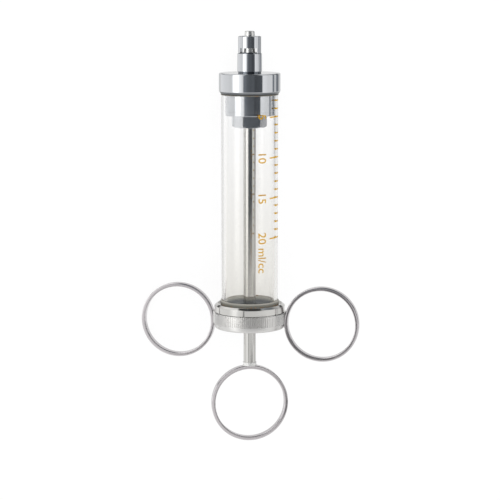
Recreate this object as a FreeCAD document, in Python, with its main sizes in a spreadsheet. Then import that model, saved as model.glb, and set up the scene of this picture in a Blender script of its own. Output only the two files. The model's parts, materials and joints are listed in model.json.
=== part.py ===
import FreeCAD, Part
import math
import os
import re
import Sketcher

# A 20 ml glass control syringe. Every piece is drawn about the syringe's own axis, which is Y:
# y runs from the tip's end back to the thumb ring, x across the two finger rings. At the end the
# whole is laid down with its tip towards +Y, resting on its two caps and on the left finger ring.

doc = FreeCAD.newDocument("ControlSyringe")

# Driving dimensions in millimetres and degrees
sizes = {
    # Luer tip and lock sleeve
    "cone_end_diameter": 3.95,
    "cone_taper": 0.06,  # change of diameter over length
    "cone_length": 8.75,
    "cone_edge_round": 0.25,
    "flow_bore": 2.2,
    "tip_protrusion": 2.05,
    "sleeve_bore": 8.0,  # the lock thread's outer diameter
    "sleeve_wall": 0.6,
    "sleeve_chamfer": 0.2,
    "window_width": 6.8,
    "window_height": 2.1,
    # hub
    "hub_shoulder": 0.28,  # how far the hub stands out past the lock sleeve
    "hub_flare": 0.07,  # how much wider it is at the cap
    "hub_length": 7.8,
    "hub_edge_round": 0.3,
    "undercut_width": 0.6,
    "undercut_depth": 0.3,
    "pilot_height": 0.3,
    "spigot_diameter": 8.0,
    # glass and what seals it
    "barrel_bore": 19.85,
    "barrel_wall": 1.45,
    "barrel_length": 93.8,
    "glass_edge": 0.2,
    "washer_thickness": 0.6,
    "washer_relief": 0.2,
    # front cap
    "cement_gap": 0.15,
    "front_cap_wall": 0.78,
    "front_cap_straight": 7.2,
    "front_cap_taper": 0.85,
    "front_cap_lip": 0.15,
    "front_cap_floor": 0.95,
    "front_cap_round": 0.5,
    "front_bead": 0.7,
    # graduation
    "mark_line": 0.5,
    "mark_height": 0.08,
    "first_mark": 3,
    "last_mark": 20,
    "marks_per_number": 5,
    "mark_right_angle": 94,
    "short_mark_angle": 22,
    "long_mark_angle": 39,
    # rear ring and seal
    "seal_thickness": 0.45,
    "seal_bead": 1.4,
    "seal_bead_round": 0.3,
    "ring_overlap": 2.3,  # how far the glass reaches into the rear ring
    "flange_wall": 2.45,
    "flange_length": 3.3,
    "flange_bevel_width": 1.0,
    "flange_bevel_height": 0.8,
    "flange_lip": 0.4,
    "flange_recess": 0.6,
    "neck_wall": 1.25,
    "neck_length": 3.9,
    # rear cap
    "thread_clearance": 0.1,
    "cap_gap": 0.1,
    "skirt_wall": 1.25,
    "knurl_depth": 0.35,
    "knurl_length": 4.5,
    "knurl_ribs": 114,
    "knurl_groove_angle": 90,
    "knurl_chamfer": 0.2,
    "rim_wall": 1.1,
    "rim_round": 0.9,
    "cap_floor": 1.8,
    "gland_thickness": 1.0,
    "rod_clearance": 0.05,
    # finger rings and thumb ring
    "finger_ring_bore": 27.4,
    "thumb_ring_bore": 28.3,
    "band_thickness": 1.55,
    "band_width": 3.0,
    "band_round": 0.3,
    "ring_inset": 0.45,  # how far a finger ring is let into the knurl
    "ring_setback": 4.4,  # its centre behind the rear cap's front edge
    # plunger
    "piston_clearance": 0.04,
    "piston_end_gap": 0.1,
    "piston_length": 15.8,
    "piston_wall": 1.2,
    "piston_front_wall": 1.5,
    "piston_back_wall": 1.6,
    "piston_edge_round": 0.3,
    "piston_groove_width": 0.25,
    "piston_groove_depth": 0.1,
    "piston_groove_setback": 1.0,
    "back_spigot_length": 2.0,
    "rod_diameter": 5.0,
    "rod_length": 100.6,
    "rod_stub_diameter": 4.0,
    "rod_stub_length": 4.5,
    "nut_flats": 12.2,
    "nut_height": 4.8,
    "nut_chamfer_angle": 30,
    "boss_diameter": 5.5,
    "boss_length": 1.3,
}

sheet = doc.addObject("Spreadsheet::Sheet", "Sizes")
for row, (alias, value) in enumerate(sizes.items(), start=1):
    sheet.set(f"A{row}", alias)
    sheet.set(f"B{row}", str(value))
    sheet.setAlias(f"B{row}", alias)
doc.recompute()

# Radii and places along the syringe, each worked out from the sizes above
derived = {
    "hub_face": "cone_length",
    "cap_face": "hub_face + hub_length",
    "bore_face": "cap_face + front_cap_floor",
    "glass_front": "bore_face + washer_thickness",
    "glass_rear": "glass_front + barrel_length",
    "front_cap_rear": "cap_face + front_cap_straight + front_cap_taper",
    "flange_front": "glass_rear - ring_overlap",
    "flange_rear": "flange_front + flange_length",
    "ledge_face": "glass_rear + washer_thickness",
    "neck_rear": "flange_rear + neck_length",
    "gland_rear": "neck_rear + gland_thickness",
    "cap_front": "flange_rear + cap_gap",
    "knurl_rear": "cap_front + knurl_length",
    "cap_rear": "gland_rear + cap_floor",
    "ring_centre": "cap_front + ring_setback",
    "piston_front": "bore_face + piston_end_gap",
    "piston_rear": "piston_front + piston_length",
    "back_front": "piston_rear - piston_back_wall",
    "nut_rear": "piston_rear + nut_height",
    "rod_rear": "piston_rear + rod_length",
    "sleeve_radius": "sleeve_bore / 2 + sleeve_wall",
    "hub_radius": "sleeve_radius + hub_shoulder",
    "bore_radius": "barrel_bore / 2",
    "glass_radius": "bore_radius + barrel_wall",
    "washer_bore_radius": "bore_radius + washer_relief",
    "front_bore_radius": "glass_radius + cement_gap",
    "front_cap_radius": "front_bore_radius + front_cap_wall",
    "seal_radius": "glass_radius + seal_thickness",
    "neck_radius": "seal_radius + neck_wall",
    "flange_radius": "seal_radius + flange_wall",
    "flange_top_radius": "flange_radius - flange_bevel_width",
    "flange_recess_radius": "flange_top_radius - flange_lip",
    "skirt_bore_radius": "neck_radius + thread_clearance",
    "knurl_root_radius": "skirt_bore_radius + skirt_wall",
    "knurl_radius": "knurl_root_radius + knurl_depth",
    "rim_radius": "skirt_bore_radius + rim_wall",
    "rod_radius": "rod_diameter / 2",
    "rod_hole_radius": "rod_radius + rod_clearance",
    "stub_radius": "rod_stub_diameter / 2",
    "stub_hole_radius": "stub_radius + rod_clearance",
    "piston_radius": "bore_radius - piston_clearance",
    "piston_bore_radius": "piston_radius - piston_wall",
    "finger_ring_radius": "finger_ring_bore / 2 + band_thickness",
    "thumb_ring_radius": "thumb_ring_bore / 2 + band_thickness",
    "ring_offset": "knurl_radius - ring_inset + finger_ring_radius",
    "thumb_ring_centre": "rod_rear + boss_length + thumb_ring_radius",
    "millilitre": "1000 / (3.14159265 * bore_radius * bore_radius)",
}


def bound(text):
    """An expression that reads the sheet, from plain words such as 'bore_radius + 1'."""
    def word(match):
        name = match.group()
        if name in derived:
            return f"({bound(derived[name])})"
        return f"Sizes.{name}" if name in sizes else name

    return re.sub(r"[a-z_]+", word, text)


def number(text):
    """The present value of the same expression."""
    return float(sheet.evalExpression(bound(text)))


def base_plane(body, role):
    return next(plane for plane in body.Origin.OriginFeatures if plane.Role == role)


def new_sketch(body, name, role="XY_Plane"):
    sketch = body.newObject("Sketcher::SketchObject", name)
    sketch.AttachmentSupport = [(base_plane(body, role), "")]
    sketch.MapMode = "FlatFace"
    return sketch


def outline(sketch, corners):
    """A closed outline whose corners, pairs of expressions, are held to the sketch's axes."""
    places = [FreeCAD.Vector(number(across), number(along), 0) for across, along in corners]
    for index, place in enumerate(places):
        follower = places[(index + 1) % len(places)]
        sketch.addGeometry(Part.LineSegment(place, follower))
    for index, (place, corner) in enumerate(zip(places, corners)):
        sketch.addConstraint(Sketcher.Constraint("Coincident", index - 1 if index else len(places) - 1, 2, index, 1))
        for kind, value, text, axis in (("DistanceX", place.x, corner[0], -2), ("DistanceY", place.y, corner[1], -1)):
            if text == "0":
                sketch.addConstraint(Sketcher.Constraint("PointOnObject", index, 1, axis))
                continue
            sketch.addConstraint(Sketcher.Constraint(kind, -1, 1, index, 1, value))
            sketch.setExpression(f"Constraints[{sketch.ConstraintCount - 1}]", bound(text))


def turned(name, corners):
    """A body turned about the syringe's axis, from its half section in x and y."""
    body = doc.addObject("PartDesign::Body", name)
    sketch = new_sketch(body, f"{name}_section")
    outline(sketch, corners)
    turning = body.newObject("PartDesign::Revolution", f"{name}_turning")
    turning.Profile = sketch
    turning.ReferenceAxis = (sketch, ["V_Axis"])
    turning.Angle = 360
    doc.recompute()
    return body


def rims(body, *places):
    """The circular edges about the syringe's axis at the given radii and places along it."""
    wanted = [(number(radius), number(along)) for radius, along in places]
    names = []
    for index, edge in enumerate(body.Tip.Shape.Edges, start=1):
        curve = edge.Curve
        if not isinstance(curve, Part.Circle) or math.hypot(curve.Center.x, curve.Center.z) > 1e-6:
            continue
        for radius, along in wanted:
            if abs(curve.Radius - radius) < 1e-6 and abs(curve.Center.y - along) < 1e-6:
                names.append(f"Edge{index}")
    return names


def dress(body, kind, name, size, edges):
    """A fillet or a chamfer of a bound size on the given edges of the body's last feature."""
    carrier = body.Tip
    feature = body.newObject(f"PartDesign::{kind}", name)
    feature.Base = (carrier, edges)
    feature.setExpression("Radius" if kind == "Fillet" else "Size", bound(size))
    body.Tip = feature
    doc.recompute()
    return feature


def removed(body, name, sketch, length=None):
    """A pocket to both sides of its sketch: right through, or of a bound length."""
    pocket = body.newObject("PartDesign::Pocket", name)
    pocket.Profile = sketch
    pocket.Midplane = True
    pocket.Type = "Length" if length else "ThroughAll"
    if length:
        pocket.setExpression("Length", bound(length))
    body.Tip = pocket
    doc.recompute()
    return pocket


def circle(sketch, radius, across, along):
    """A circle of a bound radius whose centre is held to the sketch's axes."""
    centre = FreeCAD.Vector(number(across), number(along), 0)
    index = sketch.addGeometry(Part.Circle(centre, FreeCAD.Vector(0, 0, 1), number(radius)))
    sketch.addConstraint(Sketcher.Constraint("Radius", index, number(radius)))
    sketch.setExpression(f"Constraints[{sketch.ConstraintCount - 1}]", bound(radius))
    for kind, value, text, axis in (("DistanceX", centre.x, across, -2), ("DistanceY", centre.y, along, -1)):
        if text == "0":
            sketch.addConstraint(Sketcher.Constraint("PointOnObject", index, 3, axis))
            continue
        sketch.addConstraint(Sketcher.Constraint(kind, -1, 1, index, 3, value))
        sketch.setExpression(f"Constraints[{sketch.ConstraintCount - 1}]", bound(text))


def rectangle(x_low, y_low, x_high, y_high):
    return [(x_low, y_low), (x_high, y_low), (x_high, y_high), (x_low, y_high)]


def luer_hub():
    pilot_face = "hub_face - pilot_height"
    rear_radius = "hub_radius + hub_flare"
    body = turned("luer_hub", [
        ("flow_bore / 2", "0"),
        ("cone_end_diameter / 2", "0"),
        ("(cone_end_diameter + cone_taper * (cone_length - pilot_height)) / 2", pilot_face),
        ("sleeve_bore / 2", pilot_face),
        ("sleeve_bore / 2", "hub_face"),
        ("hub_radius", "hub_face"),
        (rear_radius, "cap_face - undercut_width"),
        (f"{rear_radius} - undercut_depth", "cap_face - undercut_width"),
        (f"{rear_radius} - undercut_depth", "cap_face"),
        ("spigot_diameter / 2", "cap_face"),
        ("spigot_diameter / 2", "bore_face"),
        ("flow_bore / 2", "bore_face"),
    ])
    dress(body, "Fillet", "cone_edge", "cone_edge_round", rims(body, ("cone_end_diameter / 2", "0")))
    dress(body, "Fillet", "hub_edge", "hub_edge_round", rims(body, ("hub_radius", "hub_face")))
    return body


def lock_sleeve():
    """The drain window is milled straight through the sleeve, down to the hub."""
    body = turned("lock_sleeve", [
        ("sleeve_bore / 2 + sleeve_chamfer", "tip_protrusion"),
        ("sleeve_radius - sleeve_chamfer", "tip_protrusion"),
        ("sleeve_radius", "tip_protrusion + sleeve_chamfer"),
        ("sleeve_radius", "hub_face"),
        ("sleeve_bore / 2", "hub_face"),
        ("sleeve_bore / 2", "tip_protrusion + sleeve_chamfer"),
    ])
    window = new_sketch(body, "window_outline")
    half = "window_width / 2"
    outline(window, rectangle(f"-{half}", "hub_face - window_height", half, "hub_face"))
    removed(body, "window", window)
    return body


def front_cap():
    body = turned("front_cap", [
        ("spigot_diameter / 2", "cap_face"),
        ("front_cap_radius", "cap_face"),
        ("front_cap_radius", "cap_face + front_cap_straight"),
        ("front_bore_radius + front_cap_lip", "front_cap_rear"),
        ("front_bore_radius", "front_cap_rear"),
        ("front_bore_radius", "bore_face"),
        ("spigot_diameter / 2", "bore_face"),
    ])
    dress(body, "Fillet", "front_cap_edge", "front_cap_round", rims(body, ("front_cap_radius", "cap_face")))
    return body


def front_washer():
    return turned("front_washer", rectangle("washer_bore_radius", "bore_face", "front_bore_radius", "glass_front"))


def front_seal():
    return turned("front_seal", rectangle(
        "glass_radius", "glass_front", "front_bore_radius", "front_cap_rear + front_bead"))


def glass_barrel():
    return turned("glass_barrel", [
        ("bore_radius", "glass_front"),
        ("glass_radius - glass_edge", "glass_front"),
        ("glass_radius", "glass_front + glass_edge"),
        ("glass_radius", "glass_rear - glass_edge"),
        ("glass_radius - glass_edge", "glass_rear"),
        ("bore_radius", "glass_rear"),
    ])


def scale_marks():
    """One raised line round part of the glass for each millilitre, long at every numbered one."""
    lines = []
    first = round(number("first_mark"))
    last = round(number("last_mark"))
    start = math.radians(number("mark_right_angle"))
    across = FreeCAD.Vector(math.sin(start), 0, -math.cos(start))
    turn = FreeCAD.Rotation(across, FreeCAD.Vector(0, 0, 0), FreeCAD.Vector(0, 1, 0), "ZXY")
    for mark in range(first, last + 1):
        line = doc.addObject("Part::Cylinder", f"mark_{mark}")
        numbered = mark % round(number("marks_per_number")) == 0
        line.setExpression("Radius", bound("glass_radius + mark_height"))
        line.setExpression("Height", bound("mark_line"))
        line.setExpression("Angle", bound("long_mark_angle" if numbered else "short_mark_angle"))
        line.Placement = FreeCAD.Placement(FreeCAD.Vector(0, 0, 0), turn)
        line.setExpression("Placement.Base.y", bound(f"bore_face + {mark} * millilitre - mark_line / 2"))
        lines.append(line)
    wedges = doc.addObject("Part::Compound", "mark_wedges")
    wedges.Links = lines
    inside = doc.addObject("Part::Cylinder", "glass_surface")
    inside.setExpression("Radius", bound("glass_radius"))
    inside.setExpression("Height", bound("glass_rear"))
    inside.Placement = FreeCAD.Placement(FreeCAD.Vector(0, 0, 0), turn)
    marks = doc.addObject("Part::Cut", "scale_marks")
    marks.Base = wedges
    marks.Tool = inside
    return marks


def rear_seal():
    body = turned("rear_seal", rectangle("glass_radius", "flange_front - seal_bead", "seal_radius", "glass_rear"))
    dress(body, "Fillet", "bead_edge", "seal_bead_round", rims(body, ("seal_radius", "flange_front - seal_bead")))
    return body


def rear_gasket():
    return turned("rear_gasket", rectangle("washer_bore_radius", "glass_rear", "seal_radius", "ledge_face"))


def rear_ring():
    recess_floor = "flange_front + flange_recess"
    return turned("rear_ring", [
        ("seal_radius", recess_floor),
        ("flange_recess_radius", recess_floor),
        ("flange_recess_radius", "flange_front"),
        ("flange_top_radius", "flange_front"),
        ("flange_radius", "flange_front + flange_bevel_height"),
        ("flange_radius", "flange_rear"),
        ("neck_radius", "flange_rear"),
        ("neck_radius", "neck_rear"),
        ("washer_bore_radius", "neck_rear"),
        ("washer_bore_radius", "ledge_face"),
        ("seal_radius", "ledge_face"),
    ])


def gland_washer():
    return turned("gland_washer", rectangle("rod_hole_radius", "neck_rear", "neck_radius", "gland_rear"))


def rear_cap():
    """The screw cap: a straight knurl of milled grooves, with a seat for each finger ring."""
    body = turned("rear_cap", [
        ("rod_hole_radius", "gland_rear"),
        ("skirt_bore_radius", "gland_rear"),
        ("skirt_bore_radius", "cap_front"),
        ("knurl_radius - knurl_chamfer", "cap_front"),
        ("knurl_radius", "cap_front + knurl_chamfer"),
        ("knurl_radius", "knurl_rear"),
        ("rim_radius", "knurl_rear"),
        ("rim_radius", "cap_rear"),
        ("rod_hole_radius", "cap_rear"),
    ])
    dress(body, "Fillet", "rim_edge", "rim_round", rims(body, ("rim_radius", "cap_rear")))

    groove_outline = new_sketch(body, "groove_outline", "XZ_Plane")
    half = "2 * knurl_depth * tan(knurl_groove_angle / 2)"
    outline(groove_outline, [
        ("knurl_root_radius", "0"),
        ("knurl_radius + knurl_depth", half),
        ("knurl_radius + knurl_depth", f"-{half}"),
    ])
    groove = removed(body, "knurl_groove", groove_outline)
    knurl = body.newObject("PartDesign::PolarPattern", "knurl")
    knurl.Originals = [groove]
    knurl.Axis = (base_plane(body, "Y_Axis"), [""])
    knurl.Angle = 360
    knurl.setExpression("Occurrences", bound("knurl_ribs"))
    body.Tip = knurl
    doc.recompute()

    for side in ("-", ""):
        seat = new_sketch(body, "ring_seat_outline")
        circle(seat, "finger_ring_radius", f"{side}ring_offset", "ring_centre")
        removed(body, "ring_seat", seat, "band_width")
    return body


def ring_band(name, bore):
    """A round band with soft edges, drawn about its own centre with its axis along z."""
    body = doc.addObject("PartDesign::Body", name)
    section = new_sketch(body, f"{name}_section", "XZ_Plane")
    outer = f"{bore} / 2 + band_thickness"
    outline(section, rectangle(f"{bore} / 2", "-band_width / 2", outer, "band_width / 2"))
    turning = body.newObject("PartDesign::Revolution", f"{name}_turning")
    turning.Profile = section
    turning.ReferenceAxis = (section, ["V_Axis"])
    turning.Angle = 360
    doc.recompute()
    circles = [f"Edge{index}" for index, edge in enumerate(turning.Shape.Edges, start=1)
               if isinstance(edge.Curve, Part.Circle)]
    dress(body, "Fillet", f"{name}_edges", "band_round", circles)
    return body


def piston_shell():
    groove = "piston_front + piston_groove_setback"
    return turned("piston_shell", [
        ("0", "piston_front"),
        ("piston_radius", "piston_front"),
        ("piston_radius", groove),
        ("piston_radius - piston_groove_depth", f"{groove} + piston_groove_width / 2"),
        ("piston_radius", f"{groove} + piston_groove_width"),
        ("piston_radius", "back_front"),
        ("piston_bore_radius", "back_front"),
        ("piston_bore_radius", "piston_front + piston_front_wall"),
        ("0", "piston_front + piston_front_wall"),
    ])


def piston_back():
    body = turned("piston_back", [
        ("stub_hole_radius", "back_front - back_spigot_length"),
        ("piston_bore_radius", "back_front - back_spigot_length"),
        ("piston_bore_radius", "back_front"),
        ("piston_radius", "back_front"),
        ("piston_radius", "piston_rear"),
        ("stub_hole_radius", "piston_rear"),
    ])
    dress(body, "Fillet", "piston_edge", "piston_edge_round", rims(body, ("piston_radius", "piston_rear")))
    return body


def piston_nut():
    """A hexagon nut whose rear corners are turned off to a cone."""
    body = doc.addObject("PartDesign::Body", "piston_nut")
    hexagon = new_sketch(body, "nut_hexagon", "XZ_Plane")
    corner = "nut_flats / (2 * cos(30))"
    half_side = "nut_flats / (4 * cos(30))"
    flat = "nut_flats / 2"
    outline(hexagon, [
        (corner, "0"),
        (half_side, flat),
        (f"-{half_side}", flat),
        (f"-{corner}", "0"),
        (f"-{half_side}", f"-{flat}"),
        (half_side, f"-{flat}"),
    ])
    hexagon.setExpression("AttachmentOffset.Base.z", bound("-piston_rear"))
    block = body.newObject("PartDesign::Pad", "nut_block")
    block.Profile = hexagon
    block.Reversed = True
    block.setExpression("Length", bound("nut_height"))
    doc.recompute()

    chamfer = new_sketch(body, "nut_chamfer_section")
    reach = f"{corner} + 1"
    outline(chamfer, [
        (flat, "nut_rear"),
        (reach, "nut_rear"),
        (reach, f"nut_rear - ({reach} - {flat}) * tan(nut_chamfer_angle)"),
    ])
    turning = body.newObject("PartDesign::Groove", "nut_chamfer")
    turning.Profile = chamfer
    turning.ReferenceAxis = (chamfer, ["V_Axis"])
    turning.Angle = 360
    body.Tip = turning
    doc.recompute()

    hole = new_sketch(body, "nut_hole_outline", "XZ_Plane")
    circle(hole, "rod_radius", "0", "0")
    removed(body, "nut_hole", hole)
    return body


def piston_rod():
    """Its thinner front end reaches through the piston's back plate."""
    return turned("piston_rod", [
        ("0", "piston_rear - rod_stub_length"),
        ("stub_radius", "piston_rear - rod_stub_length"),
        ("stub_radius", "piston_rear"),
        ("rod_radius", "piston_rear"),
        ("rod_radius", "rod_rear"),
        ("0", "rod_rear"),
    ])


def ring_boss():
    """A short boss, hollowed at its end to sit on the thumb ring."""
    body = turned("ring_boss", rectangle(
        "0", "rod_rear", "boss_diameter / 2", "rod_rear + boss_length + band_thickness"))
    saddle = new_sketch(body, "saddle_outline")
    circle(saddle, "thumb_ring_radius", "0", "thumb_ring_centre")
    removed(body, "saddle", saddle)
    return body


barrel_side = [
    luer_hub(),
    lock_sleeve(),
    front_cap(),
    front_washer(),
    front_seal(),
    glass_barrel(),
    scale_marks(),
    rear_seal(),
    rear_gasket(),
    rear_ring(),
    gland_washer(),
    rear_cap(),
]
finger_rings = {-1: ring_band("finger_ring_left", "finger_ring_bore"),
                1: ring_band("finger_ring_right", "finger_ring_bore")}
plunger = [piston_shell(), piston_back(), piston_nut(), piston_rod(), ring_boss()]
thumb_ring = ring_band("thumb_ring", "thumb_ring_bore")
doc.recompute()


def lying_tilt():
    """The angle by which the tip hangs: the front cap's rounded edge and the knurl both touch the ground."""
    rise = number("knurl_radius - front_cap_radius + front_cap_round")
    run = number("cap_front + knurl_chamfer - cap_face - front_cap_round")
    return math.atan2(rise, run) - math.asin(number("front_cap_round") / math.hypot(rise, run))


def lying_roll(tilt, height):
    """The roll at which the left finger ring's rim touches the ground, found by halving."""
    low, high = 0.0, math.radians(60)
    edge = number("band_round")
    reach = number("finger_ring_radius") - edge
    half_width = number("band_width / 2") - edge
    centre_height = height + number("ring_centre") * math.sin(tilt)
    for _ in range(50):
        roll = (low + high) / 2
        upright = math.cos(roll) * math.cos(tilt)
        drop = number("ring_offset") * math.sin(roll) * math.cos(tilt)
        drop += reach * math.sqrt(1 - upright * upright) + half_width * upright + edge
        low, high = (roll, high) if drop < centre_height else (low, roll)
    return roll


along_y = FreeCAD.Vector(0, 1, 0)
along_x = FreeCAD.Vector(1, 0, 0)
tilt = lying_tilt()
height = number("knurl_radius") * math.cos(tilt) - number("cap_front + knurl_chamfer") * math.sin(tilt)
roll = lying_roll(tilt, height)
laid = FreeCAD.Placement(FreeCAD.Vector(0, 0, height), FreeCAD.Rotation(along_x, 180 - math.degrees(tilt)))
rolled = laid * FreeCAD.Placement(FreeCAD.Vector(0, 0, 0), FreeCAD.Rotation(along_y, math.degrees(roll)))

places = {piece: rolled for piece in barrel_side}
places.update({piece: laid for piece in plunger})
for side, ring in finger_rings.items():
    centre = FreeCAD.Vector(side * number("ring_offset"), number("ring_centre"), 0)
    places[ring] = rolled * FreeCAD.Placement(centre, FreeCAD.Rotation())
thumb_centre = FreeCAD.Vector(0, number("thumb_ring_centre"), 0)
places[thumb_ring] = laid * FreeCAD.Placement(thumb_centre, FreeCAD.Rotation())

for piece, place in places.items():
    piece.Placement = place
doc.recompute()

# The origin goes under the middle of the whole
whole = Part.makeCompound([piece.Shape for piece in places]).optimalBoundingBox(False)
shift = FreeCAD.Vector(-whole.Center.x, -whole.Center.y, -whole.ZMin)
for piece, place in places.items():
    piece.Placement = FreeCAD.Placement(shift, FreeCAD.Rotation()) * place
doc.recompute()

for item in doc.Objects:
    if "Invalid" in item.State or "Error" in item.State:
        raise RuntimeError(f"{item.Label} failed: {item.State}")
for piece in places:
    if piece.Shape.isNull() or not piece.Shape.isValid() or not piece.Shape.Solids:
        raise RuntimeError(f"{piece.Label} has no sound shape")

os.makedirs("parts", exist_ok=True)
for piece in places:
    piece.Shape.exportStep(f"parts/{piece.Label}.step")
    print(piece.Label, len(piece.Shape.Solids), "solid(s),", round(piece.Shape.Volume, 2), "mm3")

# What the joints and mounts are stated from
moved = FreeCAD.Placement(shift, FreeCAD.Rotation())
axis_start = (moved * rolled).multVec(FreeCAD.Vector(0, 0, 0))
print("tilt", math.degrees(tilt), "roll", math.degrees(roll), "shift", tuple(shift))
print("tip end", tuple(axis_start), "rearward", tuple(rolled.Rotation.multVec(along_y)))
for name in ("finger_ring_left", "finger_ring_right", "thumb_ring"):
    ring = doc.getObject(name).Placement
    print(name, tuple(ring.Base), "normal", tuple(ring.Rotation.multVec(FreeCAD.Vector(0, 0, -1))))
print("travel", number("neck_rear - nut_rear"), "whole", whole)
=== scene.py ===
import json
import math

import bmesh
import bpy
from mathutils import Euler, Matrix, Vector


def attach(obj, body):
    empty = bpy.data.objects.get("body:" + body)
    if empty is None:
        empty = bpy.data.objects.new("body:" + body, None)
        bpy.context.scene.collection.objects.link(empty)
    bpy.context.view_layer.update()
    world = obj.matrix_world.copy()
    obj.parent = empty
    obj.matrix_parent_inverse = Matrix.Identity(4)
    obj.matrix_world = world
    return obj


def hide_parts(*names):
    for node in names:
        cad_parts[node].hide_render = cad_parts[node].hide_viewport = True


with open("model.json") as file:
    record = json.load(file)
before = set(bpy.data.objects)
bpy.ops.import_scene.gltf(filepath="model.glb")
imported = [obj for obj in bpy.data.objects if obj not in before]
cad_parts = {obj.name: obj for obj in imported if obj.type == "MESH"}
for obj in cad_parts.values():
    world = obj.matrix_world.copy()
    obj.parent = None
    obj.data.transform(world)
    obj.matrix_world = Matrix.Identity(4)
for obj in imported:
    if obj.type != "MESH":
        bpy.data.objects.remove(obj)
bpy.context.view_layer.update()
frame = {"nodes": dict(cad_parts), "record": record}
nodes = frame["nodes"]
record = frame["record"]
print("frame loaded:", len(nodes), "nodes")

mm = 0.001
lathe = {
    "sides": 160, "glassSides": 256, "bandSides": 192, "rodSides": 96, "rimSegments": 4,
    "smoothAngle": 32, "flatWeight": 60,
    "centre": 0.01,  # radius at which a closed outline starts
    "reach": 0.01,  # a corner this near to a rim belongs to it
    "merge": 0.001,  # corners nearer to each other than this become one
    "margin": 0.02,  # a face this near to a wall belongs to it
}

# Every piece is drawn upright: z runs from the tip's end back to the thumb ring, x towards the
# right finger ring, y out of the rings' plane. Sizes are in millimetres.
mounts = {mount["name"]: mount for mount in record["mounts"]}
tipEnd = Vector(mounts["luer_lock"]["pos_m"])
rearward = -Vector(mounts["luer_lock"]["axis"])


def drawingPlace(origin, up):
    across = up.cross(rearward).normalized()
    turn = Matrix((across, up, rearward)).transposed()
    return Matrix.Translation(origin) @ turn.to_4x4()


barrelUp = Vector(mounts["finger_ring_right"]["axis"])
plungerUp = Vector(mounts["thumb_ring"]["axis"])
barrelPlace = drawingPlace(tipEnd, barrelUp)
plungerPlace = drawingPlace(tipEnd, plungerUp)


def ringPlace(name, up):
    # a ring is drawn about its own centre with its axis along z
    return Matrix.Translation(mounts[name]["pos_m"]) @ up.to_track_quat("Z", "Y").to_matrix().to_4x4()


# Modelling helpers

def freeSelection():
    if bpy.context.object and bpy.context.object.mode != "OBJECT":
        bpy.ops.object.mode_set(mode="OBJECT")
    bpy.ops.object.select_all(action="DESELECT")


def editAll():
    bpy.ops.object.mode_set(mode="EDIT")
    bpy.ops.mesh.select_mode(type="VERT")
    bpy.ops.mesh.select_all(action="SELECT")


def pickEdges(piece, test):
    # in edit mode, leaves only the edges selected whose two ends pass the test
    bpy.ops.mesh.select_all(action="DESELECT")
    shape = bmesh.from_edit_mesh(piece.data)
    for edge in shape.edges:
        if all(test(corner.co) for corner in edge.verts):
            edge.select_set(True)
    bmesh.update_edit_mesh(piece.data)


def pickCorners(piece, test):
    bpy.ops.mesh.select_all(action="DESELECT")
    shape = bmesh.from_edit_mesh(piece.data)
    for corner in shape.verts:
        if test(corner.co):
            corner.select_set(True)
    bmesh.update_edit_mesh(piece.data)


def onRim(radius, along):
    reach = lathe["reach"] * mm

    def test(place):
        around = math.hypot(place.x, place.y)
        return abs(around - radius * mm) < reach and abs(place.z - along * mm) < reach

    return test


def roundRims(piece, rims):
    # each rim: radius, place along the axis, width of the round
    for radius, along, width in rims:
        pickEdges(piece, onRim(radius, along))
        bpy.ops.mesh.bevel(offset=width * mm, segments=lathe["rimSegments"], affect="EDGES")


def turn(name, outline, rims=(), bored=True, sides=lathe["sides"]):
    # a circle drawn out along the outline, as on a lathe; an unbored piece is closed at both ends
    freeSelection()
    radius, along = outline[0]
    bpy.ops.mesh.primitive_circle_add(vertices=sides, radius=radius * mm, location=(0, 0, along * mm))
    piece = bpy.context.object
    piece.name = name
    bpy.ops.object.transform_apply(location=True, rotation=True, scale=True)
    editAll()
    stations = outline[1:] + outline[:1] if bored else outline[1:]
    for nextRadius, nextAlong in stations:
        step = (0, 0, (nextAlong - along) * mm)
        bpy.ops.mesh.extrude_region_move(TRANSFORM_OT_translate={"value": step})
        growth = nextRadius / radius
        bpy.ops.transform.resize(value=(growth, growth, 1))
        radius, along = nextRadius, nextAlong
    if not bored:
        for end in (outline[0], outline[-1]):
            pickEdges(piece, onRim(*end))
            bpy.ops.mesh.edge_face_add()
    bpy.ops.mesh.select_all(action="SELECT")
    bpy.ops.mesh.remove_doubles(threshold=lathe["merge"] * mm)
    bpy.ops.mesh.normals_make_consistent(inside=False)
    roundRims(piece, rims)
    bpy.ops.object.mode_set(mode="OBJECT")
    return piece


def applied(piece, kind, **settings):
    bpy.context.view_layer.objects.active = piece
    modifier = piece.modifiers.new(kind.lower(), kind)
    for key, value in settings.items():
        setattr(modifier, key, value)
    bpy.ops.object.modifier_apply(modifier=modifier.name)


def carve(piece, tool, operation="DIFFERENCE"):
    applied(piece, "BOOLEAN", operation=operation, object=tool, solver="EXACT")
    bpy.data.objects.remove(tool)


def lay(piece, place, body, material, replaced=(), second=None, onSecond=None):
    # puts a finished piece where it belongs, with its place in its mesh; the faces whose middle
    # passes the test get the second material
    marked = [face.index for face in piece.data.polygons if second and onSecond(face.center / mm)]
    freeSelection()
    piece.select_set(True)
    bpy.context.view_layer.objects.active = piece
    bpy.ops.object.shade_smooth_by_angle(angle=math.radians(lathe["smoothAngle"]))
    # large faces keep their own direction next to small rounds, so that mirrored edges stay straight
    applied(piece, "WEIGHTED_NORMAL", keep_sharp=True, weight=lathe["flatWeight"])
    piece.matrix_world = place
    bpy.ops.object.transform_apply(location=True, rotation=True, scale=True)
    piece.data.materials.clear()
    piece.data.materials.append(material)
    if second:
        piece.data.materials.append(second)
        for index in marked:
            piece.data.polygons[index].material_index = 1
    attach(piece, body)
    if replaced:
        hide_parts(*replaced)
    print("made", piece.name, len(piece.data.polygons), "faces")
    return piece


# Materials

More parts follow.
